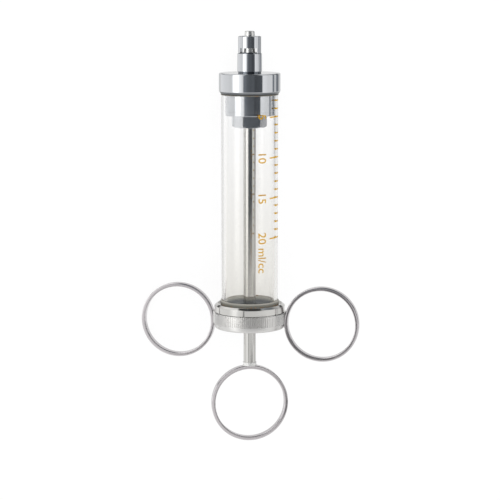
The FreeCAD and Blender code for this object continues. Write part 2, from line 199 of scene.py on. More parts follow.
def linear(hexColour):
    channels = [int(hexColour[i:i + 2], 16) / 255 for i in (1, 3, 5)]
    return tuple(c / 12.92 if c <= 0.04045 else ((c + 0.055) / 1.055) ** 2.4 for c in channels) + (1.0,)


def addNode(tree, kind, settings=None, inputs=None):
    node = tree.nodes.new(kind)
    for key, value in (settings or {}).items():
        setattr(node, key, value)
    for key, value in (inputs or {}).items():
        if isinstance(value, bpy.types.NodeSocket):
            tree.links.new(value, node.inputs[key])
        else:
            node.inputs[key].default_value = value
    return node


def newMaterial(name):
    material = bpy.data.materials.new(name)
    material.use_nodes = True
    material.node_tree.nodes.clear()
    return material, material.node_tree


def showing(material, shader):
    addNode(material.node_tree, "ShaderNodeOutputMaterial", None, {"Surface": shader})
    return material


def ownPlace(tree):
    return addNode(tree, "ShaderNodeTexCoord").outputs["Object"]


def onAxis(tree):
    # coordinates on the syringe's own axis: z runs back from the tip's end
    turnBack = Euler((math.asin(rearward.z) - math.pi / 2, 0, 0))
    return addNode(tree, "ShaderNodeMapping", None, {
        "Vector": ownPlace(tree),
        "Location": -(turnBack.to_matrix() @ tipEnd),
        "Rotation": turnBack,
    }).outputs["Vector"]


def stretched(tree, place, factors):
    return addNode(tree, "ShaderNodeMapping", None, {"Vector": place, "Scale": factors}).outputs["Vector"]


def fromAxis(tree, place):
    flat = stretched(tree, place, (1, 1, 0))
    return addNode(tree, "ShaderNodeVectorMath", {"operation": "LENGTH"}, {0: flat}).outputs["Value"]


def alongAxis(tree, place):
    return addNode(tree, "ShaderNodeSeparateXYZ", None, {"Vector": place}).outputs["Z"]


def calculated(tree, operation, *values):
    return addNode(tree, "ShaderNodeMath", {"operation": operation}, dict(enumerate(values))).outputs[0]


def ranged(tree, value, start, end, low=0.0, high=1.0):
    # goes from low to high while the value goes from start to end
    return addNode(tree, "ShaderNodeMapRange", {"clamp": True}, {
        "Value": value, "From Min": start, "From Max": end, "To Min": low, "To Max": high,
    }).outputs["Result"]


def between(tree, length, start, end, low=0.0, high=1.0):
    # the same for a length in metres, with start and end in millimetres
    return ranged(tree, length, start * mm, end * mm, low, high)


def noise(tree, place, size, detail, roughness=0.5):
    # soft random patches; the size is in millimetres
    return addNode(tree, "ShaderNodeTexNoise", None, {
        "Vector": place, "Scale": 1 / (size * mm), "Detail": detail, "Roughness": roughness,
    }).outputs["Fac"]


def relief(tree, height, depth, strength=1.0):
    # the depth is in millimetres
    return addNode(tree, "ShaderNodeBump", None, {
        "Height": height, "Strength": strength, "Distance": depth * mm}).outputs["Normal"]


def blend(tree, share, first, second):
    return addNode(tree, "ShaderNodeMix", {"data_type": "RGBA"}, {
        "Factor": share, "A": first, "B": second}).outputs["Result"]


def principled(tree, inputs):
    return addNode(tree, "ShaderNodeBsdfPrincipled", None, inputs).outputs["BSDF"]


def transparent(tree, colour):
    return addNode(tree, "ShaderNodeBsdfTransparent", None, {"Color": colour}).outputs["BSDF"]


def mixShader(tree, share, first, second):
    return addNode(tree, "ShaderNodeMixShader", None, {0: share, 1: first, 2: second}).outputs["Shader"]


chrome = {
    "colour": "#C6C8CB",  # chromium reflects a little over half of the light, evenly
    "roughness": 0.045,
    "wornRoughness": 0.13,
    "turnedLines": 0.35,  # millimetres between the lathe's lines left under the plating
    "lineStretch": (0.05, 0.05, 1.0),
    "lineDepth": 0.0009,
    "bandLineDepth": 0.0003,
    "smudge": 9.0,  # millimetres across a handled patch
    "smudgeRange": (0.35, 0.75),
    "band": "#CBC7C9", "rear": "#CBCAC7", "knurl": "#D3D2D0", "satin": 0.22,
}
# painted shading in grooves: a colour that stands in for how light falls in them, painted shade in
# the hub's recesses and painted light in the knurl's grooves; it starts at the root, fades out at
# the top, and reaches along the axis as far as the end, where it fades out too
hubPaintedShade = {"colour": "#6A6E74", "root": 4.7, "top": 4.84, "end": 17.0, "fade": 0.05}
# the knurl's groove floors carry painted light: a colour lighter than the plate, which lifts the shade in
# the grooves
knurlPaintedLight = {"colour": "#E4E3E1", "root": 14.45, "top": 14.7, "end": 117.52, "fade": 0.05}


def polishedChrome(name="polishedChrome", colour=chrome["colour"], extraRough=0.0,
                   lineDepth=chrome["lineDepth"], paintedGrooveShading=None):
    # chromium plate on turned and polished brass: mirror bright, with faint turning lines and wiped
    # patches
    material, tree = newMaterial(name)
    axis = onAxis(tree)
    lines = noise(tree, stretched(tree, axis, chrome["lineStretch"]), chrome["turnedLines"],
                  detail=3.0, roughness=0.6)
    smudges = noise(tree, axis, chrome["smudge"], detail=5.0, roughness=0.62)
    base = linear(colour)
    # painted shading in the grooves: there the plated colour gives way to the groove colour, painted
    # shade where it is darker and painted light where it is lighter
    if paintedGrooveShading:
        end = paintedGrooveShading["end"]
        inReach = between(tree, alongAxis(tree, axis), end, end + paintedGrooveShading["fade"], 1.0, 0.0)
        deep = between(tree, fromAxis(tree, axis), paintedGrooveShading["root"], paintedGrooveShading["top"], 1.0, 0.0)
        base = blend(tree, calculated(tree, "MULTIPLY", inReach, deep), base, linear(paintedGrooveShading["colour"]))
    return showing(material, principled(tree, {
        "Base Color": base,
        "Metallic": 1.0,
        "Roughness": ranged(tree, smudges, *chrome["smudgeRange"], chrome["roughness"] + extraRough,
                            chrome["wornRoughness"] + extraRough),
        "Normal": relief(tree, lines, lineDepth),
    }))


steel = {
    "colour": "#C7C6C3", "roughness": 0.07, "polishLine": 0.12, "lineStretch": (1.0, 1.0, 0.02),
    "lineDepth": 0.0012,
}


def polishedSteel():
    # stainless rod, drawn and polished along its length: a long soft streak instead of a mirror
    material, tree = newMaterial("polishedStainlessRod")
    place = stretched(tree, onAxis(tree), steel["lineStretch"])
    lines = noise(tree, place, steel["polishLine"], detail=2.0)
    return showing(material, principled(tree, {
        "Base Color": linear(steel["colour"]),
        "Metallic": 1.0,
        "Roughness": steel["roughness"],
        "Normal": relief(tree, lines, steel["lineDepth"]),
    }))


bare = {
    "cone": "#DBDBD9", "coneRoughness": 0.3,
    # the lip's dark grey is painted shade where the front cap's tapered end meets the seal
    "lip": "#6C6F72", "lipRoughness": 0.3,
    # the boss is near white: brazed metal, with a painted highlight so that the joint shows as a bright
    # band
    "boss": "#F4F4F2", "bossRoughness": 0.65,
    "spot": 1.2, "spotRange": (0.3, 0.7), "smoothest": 0.8, "roughest": 1.2,
}


def bareMetal(name, colour, roughness):
    # metal without a mirror polish, a little blotched: it shows soft light and no clear reflections
    material, tree = newMaterial(name)
    spots = noise(tree, onAxis(tree), bare["spot"], detail=3.0)
    return showing(material, principled(tree, {
        "Base Color": linear(colour),
        "Metallic": 1.0,
        "Roughness": ranged(tree, spots, *bare["spotRange"], roughness * bare["smoothest"],
                            roughness * bare["roughest"]),
    }))


glass = {
    # the grey that the glass turns towards the rear is painted shade
    "clear": "#FEFEFE", "paintedRearShade": "#F2F1EE", "rearShadeFrom": 32.0, "rearShadeTo": 108.0,
    "ior": 1.474, "roughness": 0.0, "wave": 14.0, "waveStretch": (1.0, 1.0, 0.15), "waveDepth": 0.002,
    "shadow": (0.94, 0.95, 0.95, 1),
}


def borosilicateGlass():
    # drawn borosilicate tube: colourless, with the slow waves that drawing leaves along it; it turns
    # a faint grey towards the rear, painted shade that stands in for the light falling off there
    material, tree = newMaterial("clearBorosilicateGlass")
    axis = onAxis(tree)
    waves = noise(tree, stretched(tree, axis, glass["waveStretch"]), glass["wave"], detail=1.0)
    rearShade = between(tree, alongAxis(tree, axis), glass["rearShadeFrom"], glass["rearShadeTo"])
    surface = principled(tree, {
        "Base Color": blend(tree, rearShade, linear(glass["clear"]), linear(glass["paintedRearShade"])),
        "Roughness": glass["roughness"],
        "IOR": glass["ior"],
        "Transmission Weight": 1.0,
        "Normal": relief(tree, waves, glass["waveDepth"]),
    })
    # light passes straight on to what lies under the tube, instead of a black shadow
    shadowRay = addNode(tree, "ShaderNodeLightPath").outputs["Is Shadow Ray"]
    return showing(material, mixShader(tree, shadowRay, surface, transparent(tree, glass["shadow"])))


enamel = {
    "colour": "#E8BC2A", "thin": "#DDAE24", "through": "#F6DC60", "grain": 0.35, "roughness": 0.35,
    "gloss": 0.15,
    "cover": 0.45,  # share of the light that the print sends back; the rest passes through it
}


def firedEnamel():
    # amber ceramic enamel, screen printed and fired: a stained, half clear film that looks golden
    # over white and brown over dark metal
    material, tree = newMaterial("firedAmberEnamel")
    grain = noise(tree, ownPlace(tree), enamel["grain"], detail=3.0)
    surface = principled(tree, {
        "Base Color": blend(tree, grain, linear(enamel["colour"]), linear(enamel["thin"])),
        "Roughness": enamel["roughness"],
        "Specular IOR Level": enamel["gloss"],
    })
    through = transparent(tree, linear(enamel["through"]))
    return showing(material, mixShader(tree, enamel["cover"], through, surface))


sealant = {
    "colour": "#85847B", "pale": "#BDBBB3", "dark": "#403F3A", "stain": "#B07A3C",
    # the sealant under the glass is painted: near white by the glass end and a faint glow (painted
    # light), blue-grey deeper in the ring (painted shade)
    "underGlass": "#FBF9F0", "deep": "#8F959C", "clearness": 0.25, "paintedGlow": 0.16,
    "patch": 1.1, "stainRange": (0.5, 0.66), "roughness": 0.42, "ior": 1.43, "relief": 0.05, "swell": 0.4,
}


def agedSealant(name, frontTone, rearTone, toneShift, staining, clearness=sealant["clearness"], light=0.0):
    # translucent sealing compound whose colour changes along the axis from a front tone to a rear
    # tone, grey to olive on the outer seals, with amber stains; the two spans say where the change and
    # the stains start and are complete. Under the glass the change is painted light and shade, near
    # white by the glass end and blue-grey deeper in the ring, and its glow there is painted light.
    material, tree = newMaterial(name)
    axis = onAxis(tree)
    along = alongAxis(tree, axis)
    patches = noise(tree, axis, sealant["patch"], detail=4.0)
    stained = calculated(tree, "MULTIPLY", ranged(tree, patches, *sealant["stainRange"]),
                         between(tree, along, *staining))
    body = blend(tree, between(tree, along, *toneShift), linear(frontTone), linear(rearTone))
    colour = blend(tree, stained, body, linear(sealant["stain"]))
    return showing(material, principled(tree, {
        "Base Color": colour,
        "Roughness": sealant["roughness"],
        "Transmission Weight": clearness,
        "IOR": sealant["ior"],
        "Emission Color": colour,
        "Emission Strength": light,
        "Normal": relief(tree, patches, sealant["relief"], sealant["swell"]),
    }))


rubber = {
    "colour": "#2A2B2D", "dust": "#3B3C3D", "paleColour": "#6F757C", "paleDust": "#8B8F94",
    "grain": 0.4, "roughness": 0.6, "paleRoughness": 0.38, "relief": 0.03, "swell": 0.5,
}


def mouldedRubber(name, main, dust, roughness):
    # moulded washer: matt, with fine grain
    material, tree = newMaterial(name)
    grain = noise(tree, ownPlace(tree), rubber["grain"], detail=4.0)
    return showing(material, principled(tree, {
        "Base Color": blend(tree, grain, linear(main), linear(dust)),
        "Roughness": roughness,
        "Normal": relief(tree, grain, rubber["relief"], rubber["swell"]),
    }))


chromeFinish = polishedChrome()
ringFinish = polishedChrome("polishedChromeBand", chrome["band"], lineDepth=chrome["bandLineDepth"])
rearFinish = polishedChrome("polishedChromeRear", chrome["rear"])
# the hub carries painted shade: a darker colour in its undercut by the front cap and in the steps under
# the lock sleeve
hubFinish = polishedChrome("polishedChromeHub", paintedGrooveShading=hubPaintedShade)
# the satin knurl carries painted light in its grooves
knurlFinish = polishedChrome("satinChromeKnurl", chrome["knurl"], chrome["satin"], paintedGrooveShading=knurlPaintedLight)
coneFinish = bareMetal("turnedNickelCone", bare["cone"], bare["coneRoughness"])
# painted shade on the front cap's tapered lip
lipShadeFinish = bareMetal("paintedShadeLip", bare["lip"], bare["lipRoughness"])
# the brazed boss's near-white colour is partly a painted highlight
bossFinish = bareMetal("brazedBossPaintedHighlight", bare["boss"], bare["bossRoughness"])
rodFinish = polishedSteel()
glassFinish = borosilicateGlass()
enamelFinish = firedEnamel()
# dark where it lies under the cap's lip, olive at its exposed rear edge
frontSealFinish = agedSealant("darkSealingCompound", sealant["dark"], sealant["colour"],
                              toneShift=(24.95, 25.1), staining=(25.0, 25.3))
rearSealFinish = agedSealant("agedSealingCompound", sealant["pale"], sealant["colour"],
                             toneShift=(108.3, 108.9), staining=(109.3, 109.6))
# under the glass: painted light and a painted glow by the glass end, painted shade deeper in the ring
innerSealFinish = agedSealant("sealingUnderGlass", sealant["underGlass"], sealant["deep"],
                              toneShift=(109.0, 110.3), staining=(108.7, 108.4),
                              clearness=0.0, light=sealant["paintedGlow"])
rubberFinish = mouldedRubber("mouldedNitrileRubber", rubber["colour"], rubber["dust"],
                             rubber["roughness"])
glandFinish = mouldedRubber("greyGlandRubber", rubber["paleColour"], rubber["paleDust"],
                            rubber["paleRoughness"])

# Pieces on the barrel

hub = {
    "coneEnd": 3.95, "coneTaper": 0.06, "coneLength": 8.75, "coneRound": 0.42, "flowBore": 2.2,
    "boreRound": 0.12, "boreRim": 0.2,
    "pilotHeight": 0.3, "pilotDiameter": 8.0,
    "frontDiameter": 9.76, "rearDiameter": 9.9, "length": 7.8, "frontRound": 0.28,
    "rearRound": 0.1,
    "undercutWidth": 0.6, "undercutDepth": 0.3, "spigotDiameter": 8.0, "spigotLength": 0.95,
}
hubRear = hub["coneLength"] + hub["length"]


def makeHub():
    pilotFace = hub["coneLength"] - hub["pilotHeight"]
    coneRoot = hub["coneEnd"] + hub["coneTaper"] * pilotFace
    undercut = hub["rearDiameter"] / 2 - hub["undercutDepth"]
    piece = turn("luerHub", [
        (hub["flowBore"] / 2, 0),
        (hub["coneEnd"] / 2, 0),
        (coneRoot / 2, pilotFace),
        (hub["pilotDiameter"] / 2, pilotFace),
        (hub["pilotDiameter"] / 2, hub["coneLength"]),
        (hub["frontDiameter"] / 2, hub["coneLength"]),
        (hub["rearDiameter"] / 2, hubRear - hub["undercutWidth"]),
        (undercut, hubRear - hub["undercutWidth"]),
        (undercut, hubRear),
        (hub["spigotDiameter"] / 2, hubRear),
        (hub["spigotDiameter"] / 2, hubRear + hub["spigotLength"]),
        (hub["flowBore"] / 2, hubRear + hub["spigotLength"]),
    ], [
        (hub["coneEnd"] / 2, 0, hub["coneRound"]),
        (hub["flowBore"] / 2, 0, hub["boreRound"]),
        (hub["frontDiameter"] / 2, hub["coneLength"], hub["frontRound"]),
        (hub["rearDiameter"] / 2, hubRear - hub["undercutWidth"], hub["rearRound"]),
    ])
    coneInside = hub["flowBore"] / 2 + hub["boreRim"]
    return lay(piece, barrelPlace, "barrel", hubFinish, ["luer_hub"],
               coneFinish, lambda middle: middle.z < pilotFace and middle.xy.length > coneInside)


sleeve = {
    "bore": 8.0, "wall": 0.6, "front": 2.05, "rear": 8.75, "chamfer": 0.2, "edge": 0.12,
    "windowWidth": 6.8, "windowHeight": 2.1, "windowDepth": 14, "overcut": 0.1,
    "threadMinor": 7.0, "threadLead": 5.0, "threadStarts": 2, "threadFront": 2.65, "threadRear": 8.45,
    "threadRoot": 1.3, "threadCrest": 0.5, "threadSink": 0.05, "threadSteps": 96,
}


def makeWindowTool():
    freeSelection()
    middle = (sleeve["rear"] - sleeve["windowHeight"] / 2) * mm
    bpy.ops.mesh.primitive_cube_add(size=1, location=(0, 0, middle + sleeve["overcut"] / 2 * mm))
    tool = bpy.context.object
    tool.scale = (sleeve["windowWidth"] * mm, sleeve["windowDepth"] * mm,
                  (sleeve["windowHeight"] + sleeve["overcut"]) * mm)
    bpy.ops.object.transform_apply(location=True, rotation=True, scale=True)
    return tool


def makeThreads():
    # the two starts of the lock thread: a small trapezium wound round inside the sleeve
    root = sleeve["bore"] / 2 + sleeve["threadSink"]
    crest = sleeve["threadMinor"] / 2
    outline = [(root, -sleeve["threadRoot"] / 2), (root, sleeve["threadRoot"] / 2),
               (crest, sleeve["threadCrest"] / 2), (crest, -sleeve["threadCrest"] / 2)]
    middle = sleeve["threadFront"] + sleeve["threadRoot"] / 2
    turns = (sleeve["threadRear"] - sleeve["threadFront"] - sleeve["threadRoot"]) / sleeve["threadLead"]
    steps = round(sleeve["threadSteps"] * turns)
    pieces = []
    for start in range(sleeve["threadStarts"]):
        freeSelection()
        bpy.ops.mesh.primitive_circle_add(vertices=4, radius=mm)
        piece = bpy.context.object
        for corner, (radius, along) in zip(piece.data.vertices, outline):
            corner.co = (radius * mm, 0, (middle + along) * mm)
        applied(piece, "SCREW", angle=turns * 2 * math.pi, screw_offset=turns * sleeve["threadLead"] * mm,
                iterations=1, steps=steps, render_steps=steps, use_smooth_shade=True)
        bpy.context.view_layer.objects.active = piece
        editAll()
        bpy.ops.mesh.remove_doubles(threshold=lathe["merge"] * mm)
        bpy.ops.mesh.select_all(action="DESELECT")
        bpy.ops.mesh.select_non_manifold()
        bpy.ops.mesh.fill()
        bpy.ops.mesh.select_all(action="SELECT")
        bpy.ops.mesh.normals_make_consistent(inside=False)
        bpy.ops.object.mode_set(mode="OBJECT")
        piece.rotation_euler = (0, 0, math.pi * start)
        piece.select_set(True)
        bpy.ops.object.transform_apply(location=True, rotation=True, scale=True)
        pieces.append(piece)
    return pieces


def makeSleeve():
    inner = sleeve["bore"] / 2
    outer = inner + sleeve["wall"]
    piece = turn("lockSleeve", [
        (inner + sleeve["chamfer"], sleeve["front"]),
        (outer, sleeve["front"]),
        (outer, sleeve["rear"]),
        (inner, sleeve["rear"]),
        (inner, sleeve["front"] + sleeve["chamfer"]),
    ], [
        (outer, sleeve["front"], sleeve["chamfer"]),
        (outer, sleeve["rear"], sleeve["edge"]),
    ])
    for thread in makeThreads():
        carve(piece, thread, "UNION")
    carve(piece, makeWindowTool())
    return lay(piece, barrelPlace, "barrel", chromeFinish, ["lock_sleeve"])


frontCap = {
    "front": 16.55, "straight": 7.2, "taper": 0.85, "diameter": 24.61, "lipDiameter": 23.35,
    "bore": 23.05, "floor": 0.95, "spigotHole": 8.0, "round": 0.5, "edge": 0.12,
    "brightShare": 0.2,  # part of the tapered end that is as bright as the rest; the rest of it is painted shade
}


def makeFrontCap():
    front = frontCap["front"]
    shoulder = front + frontCap["straight"]
    rear = shoulder + frontCap["taper"]
    piece = turn("frontCap", [
        (frontCap["spigotHole"] / 2, front),
        (frontCap["diameter"] / 2, front),
        (frontCap["diameter"] / 2, shoulder),
        (frontCap["lipDiameter"] / 2, rear),
        (frontCap["bore"] / 2, rear),
        (frontCap["bore"] / 2, front + frontCap["floor"]),
        (frontCap["spigotHole"] / 2, front + frontCap["floor"]),
    ], [
        (frontCap["diameter"] / 2, front, frontCap["round"]),
        (frontCap["diameter"] / 2, shoulder, frontCap["edge"]),
    ])
    lipFront = shoulder + (frontCap["diameter"] - frontCap["lipDiameter"]) / 2 * frontCap["brightShare"]
    lipInside = frontCap["bore"] / 2 + lathe["margin"]
    # behind its bright edge, the tapered lip gets painted shade
    return lay(piece, barrelPlace, "barrel", chromeFinish, ["front_cap"],
               lipShadeFinish, lambda middle: middle.z > lipFront and middle.xy.length > lipInside)


frontSeal = {"front": 18.1, "rear": 25.3, "inner": 22.75, "outer": 23.05, "edge": 0.1}


def makeFrontSeal():
    piece = turn("frontSeal", [
        (frontSeal["inner"] / 2, frontSeal["front"]),
        (frontSeal["outer"] / 2, frontSeal["front"]),
        (frontSeal["outer"] / 2, frontSeal["rear"]),
        (frontSeal["inner"] / 2, frontSeal["rear"]),
    ], [(frontSeal["outer"] / 2, frontSeal["rear"], frontSeal["edge"])])
    return lay(piece, barrelPlace, "barrel", frontSealFinish, ["front_seal"])


barrel = {"front": 18.1, "length": 93.8, "outer": 22.75, "bore": 19.85, "edge": 0.2}


def makeGlass():
    rear = barrel["front"] + barrel["length"]
    piece = turn("glassBarrel", [
        (barrel["bore"] / 2, barrel["front"]),
        (barrel["outer"] / 2, barrel["front"]),
        (barrel["outer"] / 2, rear),
        (barrel["bore"] / 2, rear),
    ], [
        (barrel["outer"] / 2, barrel["front"], barrel["edge"]),
        (barrel["outer"] / 2, rear, barrel["edge"]),
    ], sides=lathe["glassSides"])
    return lay(piece, barrelPlace, "barrel", glassFinish, ["glass_barrel"])


scale = {
    "zero": 17.5,  # the plane that the piston's front starts from
    "first": 3, "last": 20, "numbered": 5,
    "lineWidth": 0.5, "thickness": 0.03, "lift": 0.008,
    # from the upper side of the finger rings, round towards the right one
    "rightAngle": 94, "shortAngle": 72, "longAngle": 55,
    "textAngle": 28.5, "textHeight": 3.45, "textStart": -2.7, "digitStart": -1.4, "bolder": 0.03,
    "capShare": 0.72,  # height of a digit, as a share of the font size
    "curveSteps": 4, "unitText": "ml/cc", "stepAngle": 1.5, "merge": 0.0005,
}
millilitre = 1000 / (math.pi * (barrel["bore"] / 2) ** 2)


def wrapped(piece, radius):
    # rolls a flat drawing onto the glass: x is the way round it from straight up, y the way along it
    for corner in piece.data.vertices:
        angle = corner.co.x / radius
        depth = radius + corner.co.z
        corner.co = (depth * math.sin(angle), depth * math.cos(angle), corner.co.y)


def joined(pieces, name):
    freeSelection()
    for piece in pieces:
        piece.select_set(True)
    bpy.context.view_layer.objects.active = pieces[0]
    bpy.ops.object.join()
    pieces[0].name = name
    return pieces[0]


def makeLine(mark, radius):
    numbered = mark % scale["numbered"] == 0
    start = math.radians(scale["longAngle"] if numbered else scale["shortAngle"]) * radius
    end = math.radians(scale["rightAngle"]) * radius
    steps = round(math.degrees((end - start) / radius) / scale["stepAngle"])
    freeSelection()
    bpy.ops.mesh.primitive_grid_add(x_subdivisions=steps, y_subdivisions=1, size=1)
    line = bpy.context.object
    line.scale = (end - start, scale["lineWidth"] * mm, 1)
    line.location = ((start + end) / 2, (scale["zero"] + mark * millilitre) * mm, 0)
    bpy.ops.object.transform_apply(location=True, rotation=True, scale=True)
    return line


def makeNumber(text, along, radius):
    # lettering that reads towards the thumb ring, its tops to the right
    freeSelection()
    bpy.ops.object.text_add()
    letters = bpy.context.object
    letters.data.body = text
    letters.data.size = scale["textHeight"] / scale["capShare"] * mm
    letters.data.resolution_u = scale["curveSteps"]
    letters.data.offset = scale["bolder"] * mm
    bpy.ops.object.convert(target="MESH")
    letters = bpy.context.object
    letters.rotation_euler = (0, 0, math.pi / 2)
    bpy.ops.object.transform_apply(location=True, rotation=True, scale=True)
    foot = math.radians(scale["textAngle"]) * radius
    for corner in letters.data.vertices:
        corner.co = (foot - corner.co.x, along * mm + corner.co.y, 0)
    return letters


def makeScale():
    radius = (barrel["outer"] / 2 + scale["lift"]) * mm
    drawings = []
    for mark in range(scale["first"], scale["last"] + 1):
        drawings.append(makeLine(mark, radius))
        if mark % scale["numbered"] == 0:
            text = str(mark)
            lead = scale["digitStart" if len(text) == 1 else "textStart"]
            along = scale["zero"] + mark * millilitre + lead
            if mark == scale["last"]:
                text += " " + scale["unitText"]
            drawings.append(makeNumber(text, along, radius))
    piece = joined(drawings, "scalePrint")
    editAll()
    bpy.ops.mesh.remove_doubles(threshold=scale["merge"] * mm)
    bpy.ops.object.mode_set(mode="OBJECT")
    wrapped(piece, radius)
    editAll()
    shape = bmesh.from_edit_mesh(piece.data)
    inward = [face for face in shape.faces if face.normal.x * face.calc_center_median().x
              + face.normal.y * face.calc_center_median().y < 0]
    for face in inward:
        face.normal_flip()
    bmesh.update_edit_mesh(piece.data)
    bpy.ops.object.mode_set(mode="OBJECT")
    applied(piece, "SOLIDIFY", thickness=scale["thickness"] * mm, offset=1)
    return lay(piece, barrelPlace, "barrel", enamelFinish, ["scale_marks"])


rearSeal = {"front": 108.2, "rear": 111.9, "inner": 22.79, "outer": 23.65, "round": 0.3}


def makeRearSeal():
    piece = turn("rearSeal", [
        (rearSeal["inner"] / 2, rearSeal["front"]),
        (rearSeal["outer"] / 2, rearSeal["front"]),
        (rearSeal["outer"] / 2, rearSeal["rear"]),
        (rearSeal["inner"] / 2, rearSeal["rear"]),
    ], [(rearSeal["outer"] / 2, rearSeal["front"], rearSeal["round"])])
    innerWall = rearSeal["inner"] / 2 + lathe["margin"]
    return lay(piece, barrelPlace, "barrel", rearSealFinish, ["rear_seal"],
               innerSealFinish, lambda middle: middle.xy.length < innerWall)


rearRing = {
    "front": 109.6, "flange": 3.3, "neck": 3.9, "bore": 23.65, "recess": 25.75, "recessDepth": 0.6,
    "top": 26.55, "outer": 28.55, "bevelHeight": 0.8, "neckDiameter": 26.15, "ledgeBore": 20.25,
    "ledge": 112.5, "edge": 0.1,
}


def makeRearRing():
    front = rearRing["front"]
    flangeRear = front + rearRing["flange"]
    neckRear = flangeRear + rearRing["neck"]
    floor = front + rearRing["recessDepth"]
    piece = turn("rearRing", [
        (rearRing["bore"] / 2, floor),
        (rearRing["recess"] / 2, floor),
        (rearRing["recess"] / 2, front),
        (rearRing["top"] / 2, front),
        (rearRing["outer"] / 2, front + rearRing["bevelHeight"]),
        (rearRing["outer"] / 2, flangeRear),
        (rearRing["neckDiameter"] / 2, flangeRear),
        (rearRing["neckDiameter"] / 2, neckRear),
        (rearRing["ledgeBore"] / 2, neckRear),
        (rearRing["ledgeBore"] / 2, rearRing["ledge"]),
        (rearRing["bore"] / 2, rearRing["ledge"]),
    ], [
        (rearRing["recess"] / 2, front, rearRing["edge"]),
        (rearRing["top"] / 2, front, rearRing["edge"]),
        (rearRing["outer"] / 2, front + rearRing["bevelHeight"], rearRing["edge"]),
        (rearRing["outer"] / 2, flangeRear, rearRing["edge"]),
    ])
    return lay(piece, barrelPlace, "barrel", rearFinish, ["rear_ring"])


# The screw cap and its rings

screwCap = {
    "front": 113.0, "knurlLength": 4.5, "knurlDiameter": 29.55, "knurlDepth": 0.35, "chamfer": 0.2,
    "ribs": 114, "ribPoints": 4,
    "rimDiameter": 28.55, "rear": 119.6, "rimRound": 0.9, "bore": 26.35, "floor": 117.8, "rodHole": 5.1,
}
band = {
    "width": 3.0, "thickness": 1.55, "round": 0.3,
    "fingerBore": 27.4, "thumbBore": 28.3, "offset": 29.575, "fingerCentre": 117.4,
}


def makeSeatTool(side):
    freeSelection()
    radius = (band["fingerBore"] / 2 + band["thickness"]) * mm
    centre = (side * band["offset"] * mm, 0, band["fingerCentre"] * mm)
    bpy.ops.mesh.primitive_cylinder_add(vertices=lathe["bandSides"], radius=radius,
                                        depth=band["width"] * mm, location=centre,
                                        rotation=(math.pi / 2, 0, 0))
    bpy.ops.object.transform_apply(location=True, rotation=True, scale=True)
    return bpy.context.object


def makeScrewCap():
    knurlRadius = screwCap["knurlDiameter"] / 2
    knurlRear = screwCap["front"] + screwCap["knurlLength"]
    chamferRadius = knurlRadius - screwCap["chamfer"]
    chamferAlong = screwCap["front"] + screwCap["chamfer"]
    piece = turn("rearScrewCap", [
        (screwCap["rodHole"] / 2, screwCap["floor"]),
        (screwCap["bore"] / 2, screwCap["floor"]),
        (screwCap["bore"] / 2, screwCap["front"]),
        (chamferRadius, screwCap["front"]),
        (knurlRadius, chamferAlong),
        (knurlRadius, knurlRear),
        (screwCap["rimDiameter"] / 2, knurlRear),
        (screwCap["rimDiameter"] / 2, screwCap["rear"]),
        (screwCap["rodHole"] / 2, screwCap["rear"]),
    ], [(screwCap["rimDiameter"] / 2, screwCap["rear"], screwCap["rimRound"])],
        sides=screwCap["ribs"] * screwCap["ribPoints"])
    # every fourth line of the knurl is pressed in to the groove's floor
    rib = 2 * math.pi / screwCap["ribs"]

    def inGroove(place):
        around = math.hypot(place.x, place.y) / mm
        part = (math.atan2(place.y, place.x) / rib) % 1
        onLength = screwCap["front"] - lathe["margin"] < place.z / mm < knurlRear + lathe["margin"]
        onKnurl = around > chamferRadius - lathe["margin"] and onLength
        return onKnurl and min(part, 1 - part) < 0.5 / screwCap["ribPoints"]

    bpy.context.view_layer.objects.active = piece
    bpy.ops.object.mode_set(mode="EDIT")
    pickCorners(piece, inGroove)
    sunk = (knurlRadius - screwCap["knurlDepth"]) / knurlRadius
    bpy.ops.transform.resize(value=(sunk, sunk, 1))
    bpy.ops.object.mode_set(mode="OBJECT")
    for side in (-1, 1):
        carve(piece, makeSeatTool(side))
    return lay(piece, barrelPlace, "screw_cap", knurlFinish, ["rear_cap"])


def makeBand(name, bore, place, body, node):
    inner, outer = bore / 2, bore / 2 + band["thickness"]
    half = band["width"] / 2
    rims = [(radius, along, band["round"]) for radius in (inner, outer) for along in (-half, half)]
    outline = [(inner, -half), (outer, -half), (outer, half), (inner, half)]
    piece = turn(name, outline, rims, sides=lathe["bandSides"])
    return lay(piece, place, body, ringFinish, [node])


# The plunger

piston = {
    "front": 17.6, "rear": 33.4, "diameter": 19.77, "backWall": 1.6, "bore": 17.37, "frontWall": 1.5,
    "groove": 1.0, "grooveWidth": 0.25, "grooveDepth": 0.1, "edge": 0.3, "seam": 0.05,
    "spigot": 2.0, "stubHole": 4.1,
}


def makePiston():
    radius = piston["diameter"] / 2
    groove = piston["front"] + piston["groove"]
    joint = piston["rear"] - piston["backWall"]
    shell = turn("pistonShell", [
        (lathe["centre"], piston["front"]),
        (radius, piston["front"]),
        (radius, groove),
        (radius - piston["grooveDepth"], groove + piston["grooveWidth"] / 2),
        (radius, groove + piston["grooveWidth"]),
        (radius, joint),
        (piston["bore"] / 2, joint),
        (piston["bore"] / 2, piston["front"] + piston["frontWall"]),
        (lathe["centre"], piston["front"] + piston["frontWall"]),
    ], [
        (radius, piston["front"], piston["edge"] / 2),
        (radius, joint, piston["seam"]),
    ], bored=False)
    lay(shell, plungerPlace, "piston", chromeFinish, ["piston_shell"])
    back = turn("pistonBack", [
        (piston["stubHole"] / 2, joint - piston["spigot"]),
        (piston["bore"] / 2, joint - piston["spigot"]),
        (piston["bore"] / 2, joint),
        (radius, joint),
        (radius, piston["rear"]),
        (piston["stubHole"] / 2, piston["rear"]),
    ], [
        (radius, joint, piston["seam"]),
        (radius, piston["rear"], piston["edge"]),
    ])
    lay(back, plungerPlace, "piston", chromeFinish, ["piston_back"])


nut = {
    "front": 33.4, "rear": 38.2, "flats": 12.2, "hole": 5.0, "chamferAngle": 30, "edge": 0.12,
    "edgeSegments": 2, "overcut": 1,
}


